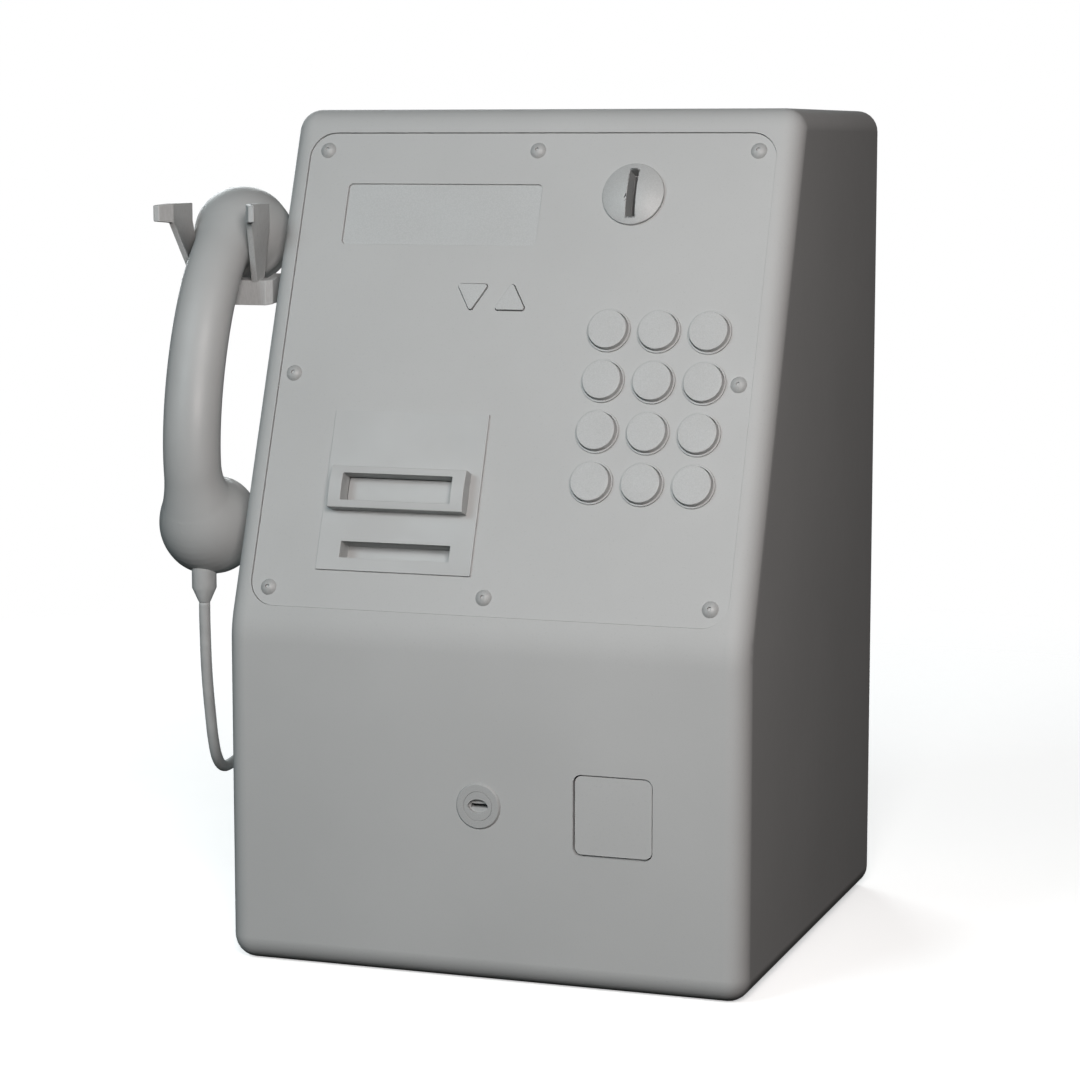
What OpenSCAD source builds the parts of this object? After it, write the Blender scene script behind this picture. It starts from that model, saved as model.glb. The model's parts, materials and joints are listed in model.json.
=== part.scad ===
// Wall or counter payphone: a steel housing with a sloped control panel, a coin slot,
// a card reader, a keypad, a coin return, and a handset hanging on a hook at the left.
// Millimetres, +Z up, the front faces -Y, the origin is the centre of the base.

/* [Housing] */
// Width of the housing
body_w = 260; // [240:1:280]
// Depth of the housing at its base
body_d = 248; // [235:1:265]
// Height of the housing
body_h = 411; // [400:1:425]
// Radius of the rounded edges
edge_r = 10.8; // [9:0.1:12]
// Angle of the control panel from vertical
slope_a = 20.65; // [18:0.05:22]
// Height where the vertical front would meet the slope
knee_z = 165.6; // [158:0.2:172]
// Radius of the bend between the front and the slope
knee_r = 45; // [35:1:55]
// Thickness of the housing walls
wall = 4; // [3:0.5:5]

/* [Control panel] */
// Thickness of the panel plate
panel_t = 2.2; // [1.8:0.1:2.4]
// Depth of the panel below the rim around it
panel_sink = 0.8; // [0.5:0.1:1]
// Diameter of the domed panel screws
screw_d = 8.1; // [7:0.1:8.4]
// Width of the display window
display_w = 100.8; // [90:0.2:104]
// Height of the display window
display_h = 31.2; // [26:0.2:34]
// Diameter of the domed coin entry
coin_d = 30.6; // [30:0.2:34]
// Length of the coin slot
coin_slot_l = 23; // [20:0.5:24.5]
// Width of the coin slot
coin_slot_w = 4.4; // [4.2:0.1:5]

/* [Buttons] */
// Distance between key centres
key_pitch = 24.75; // [23.6:0.05:25]
// Diameter of a key cap
key_d = 18.8; // [18:0.1:19.6]
// Distance that a key stands above the panel
key_proud = 3.6; // [3:0.1:4.2]
// Travel of a key
key_travel = 1.5; // [1:0.1:1.6]
// Width of a volume button
volume_w = 14.5; // [14:0.1:16.4]
// Travel of a volume button
volume_travel = 1.0; // [0.6:0.1:1.2]

/* [Card slots] */
// Width of both card openings
card_w = 55.6; // [54.6:0.1:57]
// Height of the upper card opening
mouth_h = 13.2; // [12:0.1:14]
// Distance that the card bezel stands above its plate
bezel_out = 6.8; // [5:0.1:8]
// Height of the lower card slot
tray_h = 7.9; // [6:0.1:9]

/* [Lower front] */
// Diameter of the lock's front disc
lock_d = 22.4; // [20:0.2:26]
// Side of the coin return flap
flap_w = 37.6; // [34:0.2:40]

/* [Handset and hook] */
// Distance from the housing's middle to the handset's middle
handset_x = 160; // [159:0.5:164]
// Radius of the earpiece and mouthpiece cups
cup_r = 23.5; // [22.5:0.1:23.8]
// Half width of the handle
grip_a = 14.5; // [13.5:0.1:15]
// Half depth of the handle
grip_b = 12.4; // [11:0.1:12.6]
// How far the handle's curve pulls forward
grip_bow = 46; // [44:0.5:48]
// Thickness of the fork's two prongs
prong_t = 3; // [2.4:0.1:3.4]
// Diameter of the handset cord
cord_d = 5.6; // [5:0.1:6]

/* [Hidden] */
$fn = 48;

paint = [0.62, 0.63, 0.63];
dark = [0.16, 0.16, 0.17];
steel = [0.72, 0.73, 0.74];

front_y = -body_d / 2;
back_y = body_d / 2;
slope_t = tan(slope_a);

// The slope frame starts at the panel's lower edge, s up the slope and h outward
panel_z = knee_z + 9.7;
panel_y = front_y + (panel_z - knee_z) * slope_t;
panel_half = body_w / 2 - edge_r;
panel_len = 239.9;
panel_r = 13;
panel_top = -panel_sink;
panel_back = panel_top - panel_t;
ledge_t = 4;
ledge_x = 107.5;
ledge_s = [14, 225];

screw_spots = [
    [-109.8, 230.8], [0, 230.8], [110.2, 230.8], [-111.8, 116],
    [112.4, 116], [-109.8, 9.2], [0, 9.2], [110.2, 9.2],
];
screw_shank_r = 2;

display_at = [-46, 198];
display_chamfer = 1.4;
display_sink = 1;
display_t = panel_t - display_sink;

coin_at = [50.9, 208.6];
coin_rise = 4.4;
coin_rim = 1.6;
coin_neck_r = 13;
coin_neck = 6;

volume_h = 12.8;
volume_r = 1.2;
volume_down_at = [-24.7, 156.4];
volume_up_at = [-4.7, 156.4];
button_gap = 0.35;
flange_gap = 0.4;

key_at = [46.3, 140.9];
key_hole_r = key_d / 2 + button_gap;
collar_r = key_hole_r + 0.9;
collar_h = 1;
key_flange_r = key_hole_r + 0.3;
key_flange_top = panel_back - flange_gap;
key_stem = 2.5;
mat_top = key_flange_top - key_stem - key_travel - flange_gap;
mat_t = 1.2;
board_t = 1.6;

plate_at = [-47.2, 58.3];
plate_w = 78.8;
plate_t = 1.2;
plate_top = panel_top + plate_t;
mouth_at = [-47.5, 58.3];
bezel_w = 68.8;
bezel_h = 20.4;
bezel_arch = 1.2;
tray_at = [-47.2, 29.1];
tray_depth = 10;
tray_wall = 1.5;
shutter_pin_s = mouth_at[1] + 4.6;
shutter_pin_h = -4.8;
shutter_pin_r = 1;
shutter_t = 1.2;
reader_depth = 72;
throat_h = 5;

lock_z = 85.9;
lock_plug_r = 7;
lock_barrel_r = 9;
flap_at = [66.1, 84.9];
flap_r = 3.6;
flap_t = 2.4;
flap_sink = 1;
flap_gap = 0.6;
flap_pin_r = 1.5;
flap_pin_drop = 3.2;
cup_depth = 42;
cup_wall = 1.5;

// The hook turns on a shaft through the left wall
left_x = -body_w / 2;
pivot_y = -21;
pivot_z = 320;
shaft_r = 6;
arm_x = [left_x - 9.5, left_x - 5];
fork_front = -54;
fork_z = [314.6, 327];
fork_half = 25;
prong_gap = [15, 19.5];
prong_top_z = 365;
prong_band_z = 355.5;
prong_front = -70;
prong_rear = [-46, -48.5];

// The handset's two cups, their common axis and the chord between them
ear = [-handset_x, -32.3, 349.3];
mouth = [-handset_x, -76, 207.4];
chord_a = atan2(ear[1] - mouth[1], ear[2] - mouth[2]);
forward = [0, -cos(chord_a), sin(chord_a)];
cup_back = 6;
cap_t = 8;
pocket_r = 18;
pocket_depth = 12;
handset_gland_y = -82.4;
handset_gland_z = [189, 176.2, 168.8];
handset_gland_r = 6.1;

// The cord's own points, from the housing's gland to the handset's
gland_at = [left_x, -12, 116];
cord_route = [
    [-147, -35, 96], [-150, -39, 92.5], [-153, -43, 89], [-156, -47.5, 86], [-158, -52, 83.5],
    [-159.5, -57, 82], [-160, -62, 82], [-160, -66.5, 84], [-160, -70, 87.5], [-160, -72.5, 92],
    [-160, -74.5, 98], [-160, -76, 104], [-160, -77.5, 112], [-160, -79, 120], [-160, -80.5, 130],
    [-160, -81.5, 140], [-160, -82, 150], [-160, -82.4, 160], [-160, -82.4, 168.8],
];

// ---------- shared shapes ----------

function polar(r, a) = r * [cos(a), sin(a)];
function arc(c, r, a0, a1, n) = [for (i = [0:n]) c + polar(r, a0 + (a1 - a0) * i / n)];

module slope_frame(at = [0, 0], h = 0) {
    translate([0, panel_y, panel_z])
        rotate([90 - slope_a, 0, 0])
            translate([at[0], at[1], h])
                children();
}

module front_frame(at = [0, 0], h = 0) {
    translate([at[0], front_y - h, at[1]])
        rotate([90, 0, 0])
            children();
}

// Local x runs along the housing's X, the outline is drawn as [y, z]
module along_x(x0, x1) {
    translate([x0, 0, 0])
        rotate([90, 0, 90])
            linear_extrude(x1 - x0)
                children();
}

module round_rect(w, h, r) {
    square([w - 2 * r, h], center = true);
    square([w, h - 2 * r], center = true);
    for (x = [-1, 1], y = [-1, 1])
        translate([x * (w / 2 - r), y * (h / 2 - r)])
            circle(r);
}

// A triangle that points up, w wide and h high outside, with rounded corners
module round_triangle(w, h, r) {
    base = [[w / 2 - r, -h / 2 + r], [0, h / 2 - r], [-w / 2 + r, -h / 2 + r]];
    polygon([for (i = [0:2]) each arc(base[i], r, -90 + i * 120, 30 + i * 120, 6)]);
}

// Joins rings of n points into one closed solid
module skin(rings) {
    n = len(rings[0]);
    last = len(rings) - 1;
    polyhedron(
        points = [for (ring = rings) each ring],
        faces = concat(
            [[for (j = [0:n - 1]) j]],
            [for (i = [0:last - 1], j = [0:n - 1]) [i * n + j, (i + 1) * n + j, i * n + (j + 1) % n]],
            [for (i = [0:last - 1], j = [0:n - 1])
                [i * n + (j + 1) % n, (i + 1) * n + j, (i + 1) * n + (j + 1) % n]],
            [[for (j = [n - 1:-1:0]) last * n + j]]
        )
    );
}

// ---------- housing ----------

corner_r = edge_r + 1.5;
knee_centre = [front_y + knee_r, knee_z - knee_r * tan(slope_a / 2)];
crest = [
    front_y + (body_h - corner_r - knee_z) * slope_t + corner_r / cos(slope_a),
    body_h - corner_r,
];

// The housing's side view as [y, z], drawn inset from its true outline
function side_view(inset, back) = concat(
    arc([front_y + corner_r, corner_r], corner_r - inset, 270, 180, 7),
    arc(knee_centre, knee_r - inset, 180, 180 - slope_a, 4),
    arc(crest, corner_r - inset, 180 - slope_a, 90, 6),
    [[back, body_h - inset], [back, inset]]
);

// The side views shrink along the quarter rounds at the left and right edges
module housing_volume(wall_in, back) {
    r = edge_r - wall_in;
    steps = 7;
    stations = concat(
        [for (i = [steps:-1:0]) [1, i * 90 / steps]],
        [for (i = [0:steps]) [-1, i * 90 / steps]]
    );
    skin([
        for (q = stations)
            let(x = q[0] * (panel_half + r * sin(q[1])), inset = wall_in + r * (1 - cos(q[1])))
                [for (p = side_view(inset, back)) [x, p[0], p[1]]]
    ]);
}

module panel_outline(gap = 0) {
    translate([0, panel_len / 2])
        round_rect(2 * panel_half - 2 * gap, panel_len - 2 * gap, panel_r - gap);
}

module housing_shell() {
    color(paint)
        difference() {
            union() {
                difference() {
                    housing_volume(0, back_y);
                    housing_volume(wall, back_y + 2);
                }
                slope_frame([0, panel_len / 2], panel_back - ledge_t)
                    linear_extrude(ledge_t + 0.6)
                        square([2 * panel_half + 11, panel_len + 12], center = true);
            }
            slope_frame([0, 0], panel_back)
                linear_extrude(20)
                    panel_outline();
            slope_frame([0, (ledge_s[0] + ledge_s[1]) / 2], panel_back - 20)
                linear_extrude(30)
                    square([2 * ledge_x, ledge_s[1] - ledge_s[0]], center = true);
            for (p = screw_spots)
                slope_frame(p, panel_back - ledge_t - 1)
                    cylinder(r = screw_shank_r, h = ledge_t + 2);
            front_frame([0, lock_z], -10)
                cylinder(r = lock_barrel_r, h = 20);
            front_frame(flap_at, -10)
                linear_extrude(20)
                    round_rect(flap_w + 2 * flap_gap, flap_w + 2 * flap_gap, flap_r + flap_gap);
            translate([left_x - 1, pivot_y, pivot_z])
                rotate([0, 90, 0])
                    cylinder(r = shaft_r + 3, h = 12);
            translate([left_x - 1, gland_at[1], gland_at[2]])
                rotate([0, 90, 0])
                    cylinder(r = shaft_r, h = 12);
        }
}

back_t = 3;
back_bolts = [150, 260];
back_z = body_h / 2;
cable_at = [70, 40];
cable_hole_r = 9;

module back_outline(r) {
    round_rect(body_w - 2 * wall - 0.4, body_h - 2 * wall - 0.4, r);
}

module back_plate() {
    color(paint)
        difference() {
            translate([0, back_y, back_z])
                rotate([90, 0, 0])
                    linear_extrude(back_t)
                        back_outline(edge_r - wall);
            for (x = [-1, 1], z = [-1, 1])
                translate([x * back_bolts[0] / 2, back_y + 1, back_z + z * back_bolts[1] / 2])
                    rotate([90, 0, 0])
                        cylinder(r = 3.3, h = back_t + 2);
            for (x = [-1, 1], z = [-1, 1])
                translate([x * 110, back_y + 1, back_z + z * 185])
                    rotate([90, 0, 0])
                        cylinder(r = 2, h = back_t + 2);
            translate([cable_at[0], back_y + 1, cable_at[1]])
                rotate([90, 0, 0])
                    cylinder(r = cable_hole_r, h = back_t + 2);
        }
}

module back_screws() {
    color(steel)
        for (x = [-1, 1], z = [-1, 1])
            translate([x * 110, back_y - back_t - 6, back_z + z * 185])
                rotate([-90, 0, 0])
                    difference() {
                        cylinder(r = 2, h = back_t + 5.5);
                        translate([0, 0, back_t + 4.5])
                            cylinder(r = 1.2, h = 2, $fn = 6);
                    }
}

module cable_grommet() {
    color(dark)
        translate([cable_at[0], back_y, cable_at[1]])
            rotate([90, 0, 0])
                difference() {
                    union() {
                        cylinder(r = cable_hole_r, h = back_t + 1);
                        translate([0, 0, back_t])
                            cylinder(r = cable_hole_r + 3, h = 3);
                    }
                    translate([0, 0, -1])
                        cylinder(r = 5, h = back_t + 6);
                }
}

// ---------- control panel ----------

module display_outline(gap = 0) {
    w = display_w / 2 - gap;
    h = display_h / 2 - gap;
    c = display_chamfer;
    polygon([
        [-w + c, -h], [w - c, -h], [w, -h + c], [w, h - c],
        [w - c, h], [-w + c, h], [-w, h - c], [-w, -h + c],
    ]);
}

module front_panel() {
    color(paint)
        difference() {
            slope_frame([0, 0], panel_back)
                linear_extrude(panel_t)
                    panel_outline(0.2);
            for (p = screw_spots)
                slope_frame(p, panel_back - 1)
                    cylinder(r = screw_shank_r + 0.3, h = panel_t + 2);
            slope_frame(display_at, panel_back - 1)
                linear_extrude(panel_t + 2)
                    display_outline();
            slope_frame(coin_at, panel_back - 1)
                cylinder(r = coin_neck_r, h = panel_t + 2);
            for (i = [0:11])
                slope_frame(key_spot(i), panel_back - 1)
                    cylinder(r = key_hole_r, h = panel_t + 2);
            slope_frame(volume_up_at, panel_back - 1)
                linear_extrude(panel_t + 2)
                    round_triangle(volume_w + 0.7, volume_h + 0.7, volume_r + 0.35);
            slope_frame(volume_down_at, panel_back - 1)
                linear_extrude(panel_t + 2)
                    rotate(180)
                        round_triangle(volume_w + 0.7, volume_h + 0.7, volume_r + 0.35);
            slope_frame(mouth_at, panel_back - 1)
                linear_extrude(panel_t + 2)
                    square([card_w + 0.6, mouth_h + 0.6], center = true);
            slope_frame(tray_at, panel_back - 1)
                linear_extrude(panel_t + 2)
                    square([card_w, tray_h], center = true);
        }
}

// A seal around the housing's window, clamped between the ledge and the frame behind it
gasket_t = 1;

module panel_gasket() {
    color(dark)
        slope_frame([0, (ledge_s[0] + ledge_s[1]) / 2], panel_back - ledge_t - gasket_t)
            linear_extrude(gasket_t)
                difference() {
                    square([2 * ledge_x + 3, ledge_s[1] - ledge_s[0] + 3], center = true);
                    square([2 * ledge_x, ledge_s[1] - ledge_s[0]], center = true);
                }
}

module panel_screws() {
    rise = 2.2;
    ball_r = (pow(screw_d / 2, 2) + pow(rise, 2)) / (2 * rise);
    color(steel)
        for (p = screw_spots)
            slope_frame(p, panel_top)
                difference() {
                    union() {
                        intersection() {
                            translate([0, 0, rise - ball_r])
                                sphere(ball_r);
                            cylinder(d = screw_d, h = rise + 1);
                        }
                        translate([0, 0, -panel_t - ledge_t - 4])
                            cylinder(r = screw_shank_r, h = panel_t + ledge_t + 4.2);
                    }
                    translate([0, 0, rise - 1])
                        cylinder(r = 1, h = 2, $fn = 6);
                }
}

module display_window() {
    color([0.35, 0.42, 0.36])
        slope_frame(display_at, panel_back)
            linear_extrude(display_t)
                display_outline();
}

module display_module() {
    color(dark)
        slope_frame(display_at, panel_back - 8)
            linear_extrude(8)
                square([display_w + 6, display_h + 6], center = true);
}

module key_collars() {
    color(dark)
        for (i = [0:11])
            slope_frame(key_spot(i), panel_top)
                difference() {
                    cylinder(r = collar_r, h = collar_h);
                    translate([0, 0, -1])
                        cylinder(r = key_hole_r, h = collar_h + 2);
                }
}

// ---------- buttons ----------

function key_spot(i) = key_at + key_pitch * [i % 3, -floor(i / 3)];

module key(i) {
    top = panel_top + key_proud;
    round_r = 0.9;
    color(steel)
        slope_frame(key_spot(i))
            rotate_extrude()
                polygon(concat(
                    [[0, top], [key_d / 2 - round_r, top]],
                    arc([key_d / 2 - round_r, top - round_r], round_r, 75, 0, 5),
                    [
                        [key_d / 2, key_flange_top], [key_flange_r, key_flange_top],
                        [key_flange_r, key_flange_top - 1], [3, key_flange_top - 1],
                        [3, key_flange_top - key_stem], [0, key_flange_top - key_stem],
                    ]
                ));
}

module key_1() { key(0); }
module key_2() { key(1); }
module key_3() { key(2); }
module key_4() { key(3); }
module key_5() { key(4); }
module key_6() { key(5); }
module key_7() { key(6); }
module key_8() { key(7); }
module key_9() { key(8); }
module key_star() { key(9); }
module key_0() { key(10); }
module key_hash() { key(11); }

module keypad_mat() {
    color(dark)
        slope_frame(key_spot(4) - [0, key_pitch / 2], mat_top - mat_t)
            linear_extrude(mat_t)
                round_rect(3 * key_pitch - 3, 4 * key_pitch + 4, 3);
}

module keypad_board() {
    color([0.1, 0.3, 0.2])
        slope_frame(key_spot(4) - [0, key_pitch / 2], mat_top - mat_t - board_t)
            linear_extrude(board_t)
                round_rect(3 * key_pitch - 3, 4 * key_pitch + 4, 3);
}

module volume_button(at, turn) {
    color(steel)
        slope_frame(at)
            rotate(turn) {
                translate([0, 0, key_flange_top - 0.5])
                    linear_extrude(panel_top + volume_travel - key_flange_top + 0.5)
                        round_triangle(volume_w, volume_h, volume_r);
                translate([0, 0, key_flange_top - 1])
                    linear_extrude(1)
                        round_triangle(volume_w + 2.4, volume_h + 2.4, volume_r + 1.2);
            }
}

module volume_down_button() { volume_button(volume_down_at, 180); }
module volume_up_button() { volume_button(volume_up_at, 0); }

// ---------- coins ----------

// A shallow dome on a low straight rim
module coin_entry() {
    cap_h = coin_rise - coin_rim;
    ball_r = (pow(coin_d / 2, 2) + pow(cap_h, 2)) / (2 * cap_h);
    color(steel)
        slope_frame(coin_at, panel_top)
            difference() {
                union() {
                    intersection() {
                        translate([0, 0, coin_rise - ball_r])
                            sphere(ball_r, $fn = 96);
                        cylinder(d = coin_d, h = coin_rise + 1);
                    }
                    translate([0, 0, -coin_neck])
                        cylinder(r = coin_neck_r, h = coin_neck + 0.2);
                }
                translate([-coin_slot_w / 2, -coin_slot_l / 2, -coin_neck - 1])
                    cube([coin_slot_w, coin_slot_l, coin_neck + coin_rise + 2]);
            }
}

// [y, z] of a point in the slope frame
function slope_yz(s, h) = [
    panel_y + s * sin(slope_a) - h * cos(slope_a),
    panel_z + s * cos(slope_a) + h * sin(slope_a),
];
chute_top_h = panel_top - coin_neck;
chute_x = [coin_at[0] - coin_slot_w / 2 - 1.8, coin_at[0] + coin_slot_w / 2 + 1.8];
chute_bottom = 332;

module chute_outline(grow, over) {
    polygon([
        slope_yz(coin_at[1] + coin_slot_l / 2 + grow, chute_top_h + over),
        slope_yz(coin_at[1] - coin_slot_l / 2 - grow, chute_top_h + over),
        [-32 - grow, 350],
        [-32 - grow, chute_bottom - over],
        [-4 + grow, chute_bottom - over],
        [-4 + grow, 362],
    ]);
}

module coin_chute() {
    color(steel)
        difference() {
            along_x(chute_x[0], chute_x[1])
                chute_outline(1.5, 0);
            along_x(coin_at[0] - coin_slot_w / 2, coin_at[0] + coin_slot_w / 2)
                chute_outline(0, 5);
        }
}

module coin_validator() {
    color(dark)
        difference() {
            translate([22, -36, 238])
                cube([70, 66, chute_bottom - 238]);
            translate([coin_at[0] - coin_slot_w / 2, -32, 240])
                cube([coin_slot_w, 28, 100]);
        }
}

module cash_box() {
    color(steel)
        difference() {
            translate([-70, -70, wall])
                cube([170, 160, 50]);
            translate([-68.5, -68.5, wall + 1.5])
                cube([167, 157, 60]);
        }
}

flap_pin_z = flap_at[1] + flap_w / 2 - flap_pin_drop;
flap_pin_y = front_y + 5.5;

module coin_return_cup() {
    inner = flap_w / 2 + flap_gap;
    outer = inner + cup_wall;
    low = flap_at[1] - inner;
    high = flap_at[1] + inner;
    y0 = front_y + wall;
    color(steel)
        difference() {
            along_x(flap_at[0] - outer, flap_at[0] + outer)
                polygon([
                    [y0, low - cup_wall], [y0 + cup_depth + cup_wall, low - cup_wall],
                    [y0 + cup_depth + cup_wall, high + cup_wall], [y0, high + cup_wall],
                ]);
            along_x(flap_at[0] - inner, flap_at[0] + inner)
                polygon([
                    [y0 - 1, low], [y0 + 12, low], [y0 + cup_depth, low + 12],
                    [y0 + cup_depth, high], [y0 - 1, high],
                ]);
            flap_pin();
        }
}

module coin_return_flap() {
    color(paint)
        difference() {
            union() {
                front_frame(flap_at, -flap_sink - flap_t)
                    linear_extrude(flap_t)
                        round_rect(flap_w, flap_w, flap_r);
                translate([flap_at[0] - 14, flap_pin_y, flap_pin_z])
                    rotate([0, 90, 0])
                        cylinder(r = flap_pin_r + 1.2, h = 28);
            }
            translate([flap_at[0] - 20, flap_pin_y, flap_pin_z])
                rotate([0, 90, 0])
                    cylinder(r = flap_pin_r + 0.05, h = 40);
        }
}

module flap_pin() {
    color(steel)
        translate([flap_at[0] - flap_w / 2 - flap_gap - 1, flap_pin_y, flap_pin_z])
            rotate([0, 90, 0])
                cylinder(r = flap_pin_r, h = flap_w + 2 * flap_gap + 2);
}

// ---------- lock ----------

lock_len = 22;

module lock_body() {
    color(steel)
        front_frame([0, lock_z])
            difference() {
                union() {
                    cylinder(d1 = lock_d, d2 = lock_d - 1.6, h = 1);
                    translate([0, 0, -lock_len])
                        cylinder(r = lock_barrel_r, h = lock_len);
                }
                translate([0, 0, -lock_len - 1])
                    cylinder(r = lock_plug_r + 0.05, h = lock_len + 3);
            }
}

// The keyhole is a lens: the overlap of two circles
module lock_plug() {
    lens_w = 10.4;
    lens_h = 6.6;
    lens_r = (pow(lens_w / 2, 2) + pow(lens_h / 2, 2)) / lens_h;
    color(steel)
        front_frame([0, lock_z])
            difference() {
                translate([0, 0, -lock_len])
                    cylinder(r = lock_plug_r, h = lock_len + 1);
                translate([0, 0, -1])
                    linear_extrude(3)
                        intersection() {
                            translate([0, lens_r - lens_h / 2])
                                circle(lens_r);
                            translate([0, lens_h / 2 - lens_r])
                                circle(lens_r);
                        }
                translate([-4, -0.9, -9])
                    cube([8, 1.8, 12]);
            }
}

module lock_cam() {
    color(steel)
        front_frame([0, lock_z], -lock_len - 2.5)
            linear_extrude(2.5)
                union() {
                    circle(lock_plug_r);
                    translate([-5, 0])
                        square([10, 26]);
                }
}

module lock_nut() {
    color(steel)
        front_frame([0, lock_z], -wall - 4)
            difference() {
                cylinder(r = 13.5, h = 4, $fn = 6);
                translate([0, 0, -1])
                    cylinder(r = lock_barrel_r, h = 6);
            }
}

// ---------- card slots ----------

module card_plate() {
    color(paint)
        difference() {
            slope_frame(plate_at, panel_top)
                linear_extrude(plate_t)
                    square(plate_w, center = true);
            slope_frame(mouth_at, panel_top - 1)
                linear_extrude(plate_t + 2)
                    square([card_w, mouth_h], center = true);
            slope_frame(tray_at, panel_top - 1)
                linear_extrude(plate_t + 2)
                    square([card_w, tray_h], center = true);
        }
}

// The bezel's front is an arch across its height, drawn as [s, h]
function arch(w, h, rise, n = 8) = [
    for (i = [0:n]) [w * (i / n - 0.5), h + rise * (1 - pow(2 * i / n - 1, 2))]
];

module card_bezel() {
    half = mouth_h / 2;
    color(paint)
        difference() {
            slope_frame(mouth_at, plate_top)
                along_x(-bezel_w / 2, bezel_w / 2)
                    polygon(concat(
                        [[-bezel_h / 2, 0]],
                        arch(bezel_h, bezel_out, bezel_arch),
                        [[bezel_h / 2, 0]]
                    ));
            slope_frame(mouth_at, plate_top)
                along_x(-card_w / 2, card_w / 2)
                    polygon([
                        [-half + 1.6, -1], [-half + 1.6, 0], [-half, bezel_out],
                        [-half, 12], [half, 12], [half, -1],
                    ]);
        }
}

module card_shutter() {
    pin = [shutter_pin_s - mouth_at[1], shutter_pin_h];
    top = 6.3;
    low = -5.9;
    mid = (top + low) / 2;
    color(dark)
        slope_frame(mouth_at) {
            along_x(-card_w / 2 + 0.4, card_w / 2 - 0.4)
                union() {
                    polygon(concat(
                        [for (p = arch(top - low, -0.9, 0.7)) p + [mid, 0]],
                        [[top, -0.9 - shutter_t], [low, -0.9 - shutter_t]]
                    ));
                    translate([pin[0] - 1, pin[1]])
                        square([2, -1 - pin[1]]);
                    translate(pin)
                        circle(1.6);
                }
            along_x(-card_w / 2 - 3, card_w / 2 + 3)
                translate(pin)
                    circle(shutter_pin_r);
        }
}

module card_reader() {
    color(dark)
        difference() {
            slope_frame(mouth_at)
                translate([-34, -13, panel_back - reader_depth])
                    cube([68, 27, reader_depth]);
            slope_frame(mouth_at)
                translate([-card_w / 2, -7.3, panel_back - 15])
                    cube([card_w, 15, 16]);
            slope_frame(mouth_at)
                translate([-card_w / 2, -4, panel_back - reader_depth + 4])
                    cube([card_w, throat_h, reader_depth]);
            slope_frame(mouth_at)
                along_x(-card_w / 2 - 3.3, card_w / 2 + 3.3)
                    translate([shutter_pin_s - mouth_at[1], shutter_pin_h])
                        circle(shutter_pin_r + 0.05);
        }
}

module card_tray() {
    deep = tray_depth - plate_t - panel_t;
    color(dark)
        slope_frame(tray_at)
            difference() {
                translate([-card_w / 2 - tray_wall, -tray_h / 2 - tray_wall, panel_back - deep - tray_wall])
                    cube([card_w + 2 * tray_wall, tray_h + 2 * tray_wall, deep + tray_wall]);
                translate([-card_w / 2, -tray_h / 2, panel_back - deep])
                    cube([card_w, tray_h, deep + 1]);
            }
}

module main_board() {
    color([0.1, 0.3, 0.2]) {
        translate([-110, 42, 110])
            cube([150, 1.6, 240]);
        translate([-60, 43.6, 200])
            cube([24, 3, 24]);
        translate([-10, 43.6, 250])
            cube([30, 14, 18]);
        translate([-100, 43.6, 130])
            cube([12, 9, 60]);
    }
}

// ---------- hook ----------

// Half of the fork's gap at a height
function gap_at(z) = prong_gap[0] + (prong_gap[1] - prong_gap[0])
    * min(1, (z - fork_z[1]) / (prong_band_z - fork_z[1]));

module prong_slab(side, y0, y1, z, h, out = 0) {
    x = gap_at(z) + out;
    translate([-handset_x + (side > 0 ? x : -x - prong_t), y0, z])
        cube([prong_t, y1 - y0, h]);
}

module prong(side) {
    hull() {
        prong_slab(side, fork_front, prong_rear[0], fork_z[1] - 1, 1);
        prong_slab(side, prong_front, prong_rear[1], prong_band_z, 0.5);
    }
    prong_slab(side, prong_front, prong_rear[1], prong_band_z, prong_top_z - prong_band_z);
    hull() {
        prong_slab(side, prong_front - 0.5, prong_front, prong_band_z, prong_top_z - prong_band_z);
        prong_slab(side, -77.5, -77, prong_band_z + 0.8, prong_top_z - prong_band_z - 1.6, 4.5);
    }
}

module hook_fork() {
    chamfer = 4;
    color(steel) {
        difference() {
            translate([-handset_x, 0, 0])
                along_x(-fork_half, fork_half)
                    polygon([
                        [fork_front, fork_z[0]], [fork_front, fork_z[1]],
                        [-44, fork_z[1] + 1], [-44, fork_z[0] + 2],
                    ]);
            for (side = [-1, 1])
                translate([-handset_x + side * fork_half, fork_front, fork_z[0] - 1])
                    rotate(45)
                        cube([chamfer, chamfer, 40], center = true);
        }
        along_x(arm_x[0], arm_x[1])
            union() {
                polygon([[-50, 315.5], [-50, 327.3], [-40, 330], [-21, 329], [-21, 311], [-40, 316]]);
                translate([pivot_y, pivot_z])
                    circle(9);
            }
        prong(1);
        prong(-1);
    }
}

shaft_end = left_x + 24;

module hook_shaft() {
    color(steel)
        translate([arm_x[1], pivot_y, pivot_z])
            rotate([0, 90, 0])
                cylinder(r = shaft_r, h = shaft_end - arm_x[1]);
}

module hook_cam() {
    color(steel)
        difference() {
            along_x(shaft_end - 8, shaft_end - 2)
                union() {
                    translate([pivot_y, pivot_z])
                        circle(9.5);
                    translate([pivot_y, pivot_z - 4])
                        square([36, 8]);
                }
            translate([shaft_end - 10, pivot_y, pivot_z])
                rotate([0, 90, 0])
                    cylinder(r = shaft_r, h = 12);
        }
}

module hook_bushing() {
    color(dark)
        translate([left_x - 2.5, pivot_y, pivot_z])
            rotate([0, 90, 0])
                difference() {
                    union() {
                        cylinder(r = 12, h = 2.5);
                        cylinder(r = shaft_r + 3, h = 2.5 + wall);
                        translate([0, 0, 2.5 + wall])
                            cylinder(r = 10, h = 2);
                    }
                    translate([0, 0, -1])
                        cylinder(r = shaft_r + 0.05, h = 12);
                }
}

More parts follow.
